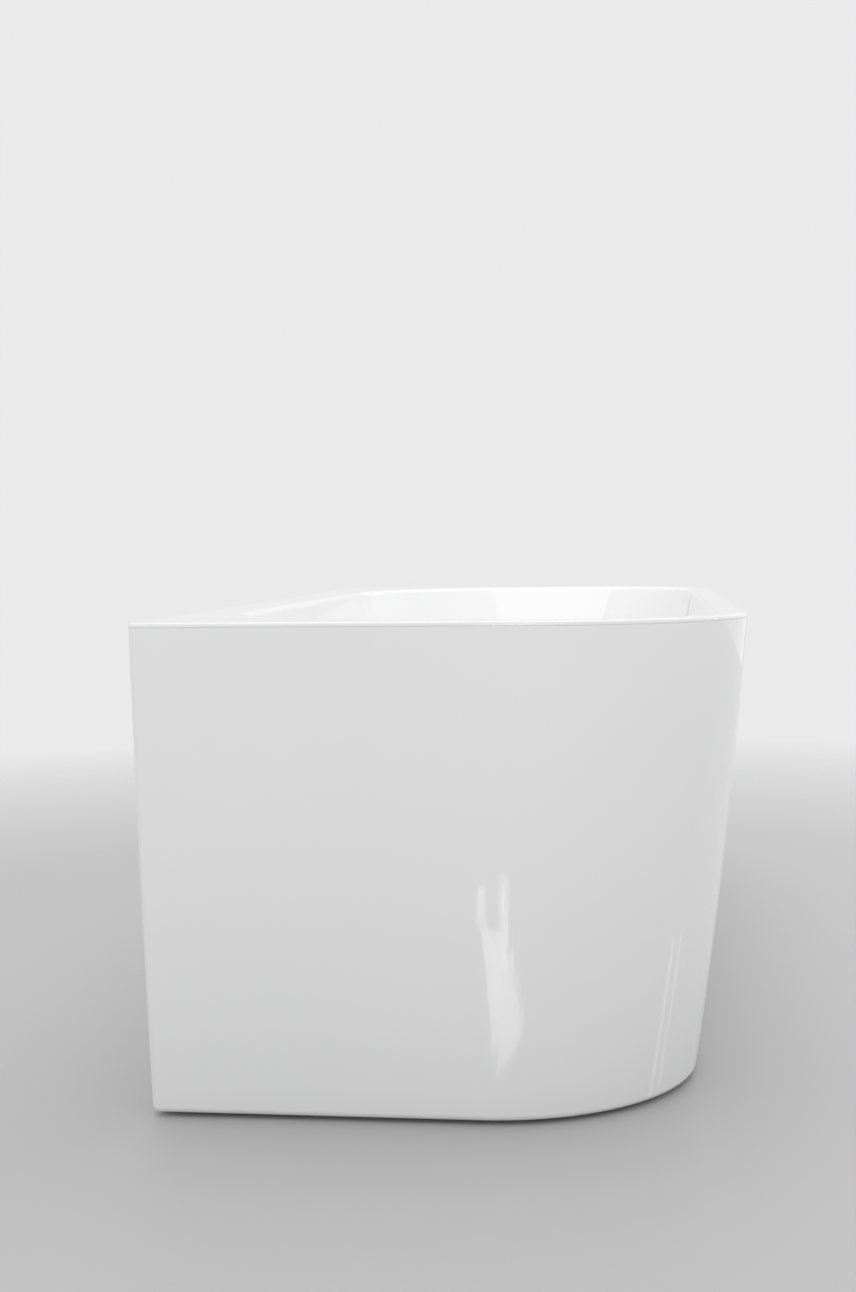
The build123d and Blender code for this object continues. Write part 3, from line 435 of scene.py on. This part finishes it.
def zinc_steel():
    finish = Finish("zinc_steel", {"Metallic": 1.0})
    spangle = finish.noise(0.012, 5.0)
    finish.colour(spangle, (0.50, 0.51, 0.53), (0.66, 0.66, 0.66))
    finish.roughness(spangle, 0.28, 0.46)
    finish.bump(finish.noise(0.0012, 2.0), 0.00003)
    return finish.material


def black_plastic():
    finish = Finish("black_plastic", {"IOR": 1.5})
    grain = finish.noise(0.0008, 2.0)
    finish.colour(finish.noise(0.02), (0.018, 0.018, 0.019), (0.032, 0.032, 0.033))
    finish.roughness(grain, 0.42, 0.58)
    finish.bump(grain, 0.00004)
    return finish.material


def white_plastic():
    finish = Finish("white_plastic", {"IOR": 1.49})
    grain = finish.noise(0.0015, 2.0)
    finish.colour(finish.noise(0.05), (0.76, 0.76, 0.73), (0.82, 0.82, 0.80))
    finish.roughness(grain, 0.30, 0.42)
    finish.bump(grain, 0.00002)
    return finish.material


def black_rubber():
    finish = Finish("rubber", {"IOR": 1.5})
    grain = finish.noise(0.0006, 3.0)
    finish.colour(finish.noise(0.01), (0.020, 0.020, 0.020), (0.034, 0.034, 0.034))
    finish.roughness(grain, 0.70, 0.88)
    finish.bump(grain, 0.00003)
    return finish.material


def polished_chrome():
    finish = Finish("chrome", {"Metallic": 1.0})
    smear = finish.noise(0.02, 4.0)
    finish.colour(smear, (0.74, 0.745, 0.76), (0.80, 0.80, 0.81))
    finish.roughness(smear, 0.035, 0.075)
    return finish.material


def turned_brass():
    finish = Finish("brass", {"Metallic": 1.0})
    rings = finish.noise(0.004, 2.0, (1, 1, 6))
    finish.colour(rings, (0.62, 0.44, 0.19), (0.76, 0.58, 0.30))
    finish.roughness(rings, 0.20, 0.32)
    finish.bump(rings, 0.00003)
    return finish.material


finishes = {
    "white_acrylic": white_acrylic(),
    "plywood": plywood(),
    "zinc_steel": zinc_steel(),
    "black_plastic": black_plastic(),
    "white_plastic": white_plastic(),
    "rubber": black_rubber(),
    "chrome": polished_chrome(),
    "brass": turned_brass(),
}

# Every part from CAD takes its finish by the record's slots
smoothing = smooth_by_angle()
for row in frame["record"]["subparts"]:
    part = frame["nodes"][row["node"]]
    part.data.materials.clear()
    part.data.materials.append(finishes[row["material_slot"]])
    part.modifiers.new("smooth_by_angle", "NODES").node_group = smoothing

# The studs and the two shells are made here, and replace their CAD parts in the same places
for number in range(1, FEET + 1):
    stud = threaded_stud(f"threaded_stud_{number}", *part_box(f"foot_stud_{number}"))
    stud.data.materials.append(finishes["zinc_steel"])
    stud.modifiers.new("smooth_by_angle", "NODES").node_group = smoothing
    plain_mesh(stud)
    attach(stud, f"stud_{number}")
    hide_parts(f"foot_stud_{number}")

for piece, node in ((skirt_piece(), "outer_skirt"), (basin_piece(), "inner_shell")):
    piece.data.materials.clear()
    piece.data.materials.append(finishes["white_acrylic"])
    piece.modifiers.new("even_normals", "WEIGHTED_NORMAL").keep_sharp = True
    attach(piece, "bath")
    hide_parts(node)


# Room: a pale floor that fades into pale surroundings. The floor is glossy for light on its way
# to the bath, and rougher where the camera sees it, so that lamps leave no sharp patches there
WHITE = (1, 1, 1, 1)
FLOOR_SIDES, FLOOR_REACH = 128, 9.0
FLOOR_FADE = (1.35, 3.4)
FLOOR_TONE = (0.50, 0.50, 0.505, 1)
FLOOR_ROUGHNESS, FLOOR_ROUGHNESS_SEEN = 0.05, 0.45
SURROUNDING_TONE = 0.82
LIGHT_LEVEL = 0.80

# Light before the near end, in strips of (left, right, low, high). They show in it by way of the
# floor, the higher ones lower down, where the round corner narrows them, so those are wider
STRIP_PLANE, STRIP_GLOW = -5.85, 42
STRIPS = ((-0.423, -0.389, 0.86, 1.05), (-0.334, -0.294, 0.81, 1.05), (-0.40, -0.13, 1.05, 1.20),
          (-0.39, 0.16, 1.20, 1.35), (-0.38, 0.46, 1.35, 1.50), (-0.32, 0.75, 1.50, 1.64),
          (0.05, 1.08, 1.64, 1.80))


def pale_floor():
    bpy.ops.mesh.primitive_circle_add(vertices=FLOOR_SIDES, radius=FLOOR_REACH, fill_type="NGON")
    floor = bpy.context.object
    floor.name = "floor"
    finish = Finish("pale_floor", {"Base Color": FLOOR_TONE})
    tree = finish.tree
    reach = tree.nodes.new("ShaderNodeVectorMath")
    reach.operation = "LENGTH"
    fade = finish.ranged(reach.outputs["Value"], 1, 0, *FLOOR_FADE)
    rays = tree.nodes.new("ShaderNodeLightPath")
    roughness = finish.ranged(rays.outputs["Is Camera Ray"], FLOOR_ROUGHNESS, FLOOR_ROUGHNESS_SEEN, 0, 1)
    tree.links.new(roughness, finish.shader.inputs["Roughness"])
    tree.links.new(finish.place, reach.inputs[0])
    tree.links.new(fade, finish.shader.inputs["Alpha"])
    floor.data.materials.append(finish.material)


def surroundings():
    """A world that lights at one level and shows, directly and in gloss, at another."""
    world = bpy.data.worlds.new("surroundings")
    bpy.context.scene.world = world
    world.use_nodes = True
    tree = world.node_tree
    light = tree.nodes["Background"]
    light.inputs["Color"].default_value = WHITE
    light.inputs["Strength"].default_value = LIGHT_LEVEL
    seen = tree.nodes.new("ShaderNodeBackground")
    seen.inputs["Color"].default_value = WHITE
    seen.inputs["Strength"].default_value = SURROUNDING_TONE
    rays = tree.nodes.new("ShaderNodeLightPath")
    either = tree.nodes.new("ShaderNodeMath")
    either.operation = "MAXIMUM"
    mix = tree.nodes.new("ShaderNodeMixShader")
    tree.links.new(rays.outputs["Is Camera Ray"], either.inputs[0])
    tree.links.new(rays.outputs["Is Glossy Ray"], either.inputs[1])
    tree.links.new(either.outputs["Value"], mix.inputs["Fac"])
    tree.links.new(light.outputs["Background"], mix.inputs[1])
    tree.links.new(seen.outputs["Background"], mix.inputs[2])
    tree.links.new(mix.outputs["Shader"], tree.nodes["World Output"].inputs["Surface"])


def soft_light(name, place, target, size, power):
    """A rectangular lamp that faces its target."""
    data = bpy.data.lights.new(name, "AREA")
    data.shape, data.size, data.size_y, data.energy = "RECTANGLE", *size, power
    lamp = bpy.data.objects.new(name, data)
    lamp.location = place
    lamp.rotation_euler = (Vector(target) - Vector(place)).to_track_quat("-Z", "Y").to_euler()
    bpy.context.scene.collection.objects.link(lamp)


pale_floor()
surroundings()
soft_light("overhead", place=(0.2, 0.3, 3.2), target=(0, 0.1, 0), size=(2.6, 3.4), power=36)
soft_light("bright_side", place=(2.6, 2.2, 1.2), target=(0, 0, 0.5), size=(3.2, 2.2), power=7)
for number, (left, right, low, high) in enumerate(STRIPS, start=1):
    x, z = (left + right) / 2, (low + high) / 2
    width, tall = right - left, high - low
    soft_light(f"front_strip_{number}", (x, STRIP_PLANE, z), (x, 0, z), (width, tall),
               STRIP_GLOW * width * tall)

# Two upright strips at the side, which show on the round corner
soft_light("side_strip_near", place=(3.1, 0.02, 1.3), target=(0, 0.02, 1.3), size=(0.16, 0.8), power=2.4)
soft_light("side_strip_far", place=(3.1, 0.42, 1.3), target=(0, 0.42, 1.3), size=(0.12, 0.8), power=1.6)

# Camera at the photograph's place
CAMERA_PLACE = Vector((0.2323, -2.8796, 0.6924))
CAMERA_YAW, CAMERA_PITCH, CAMERA_ROLL = (math.radians(a) for a in (6.828, 3.262, -0.662))
CAMERA_LENS = 48.546


def photo_camera():
    ahead = Vector((-math.sin(CAMERA_YAW) * math.cos(CAMERA_PITCH),
                    math.cos(CAMERA_YAW) * math.cos(CAMERA_PITCH), -math.sin(CAMERA_PITCH)))
    right = Vector((math.cos(CAMERA_YAW), math.sin(CAMERA_YAW), 0))
    up = right.cross(ahead)
    rolled_right = right * math.cos(CAMERA_ROLL) + up * math.sin(CAMERA_ROLL)
    rolled_up = up * math.cos(CAMERA_ROLL) - right * math.sin(CAMERA_ROLL)
    data = bpy.data.cameras.new("camera")
    data.lens = CAMERA_LENS
    camera = bpy.data.objects.new("camera", data)
    turn = Matrix((rolled_right, rolled_up, -ahead)).transposed().to_4x4()
    camera.matrix_world = Matrix.Translation(CAMERA_PLACE) @ turn
    bpy.context.scene.collection.objects.link(camera)
    bpy.context.scene.camera = camera


photo_camera()
bpy.context.scene.view_settings.view_transform = "Standard"
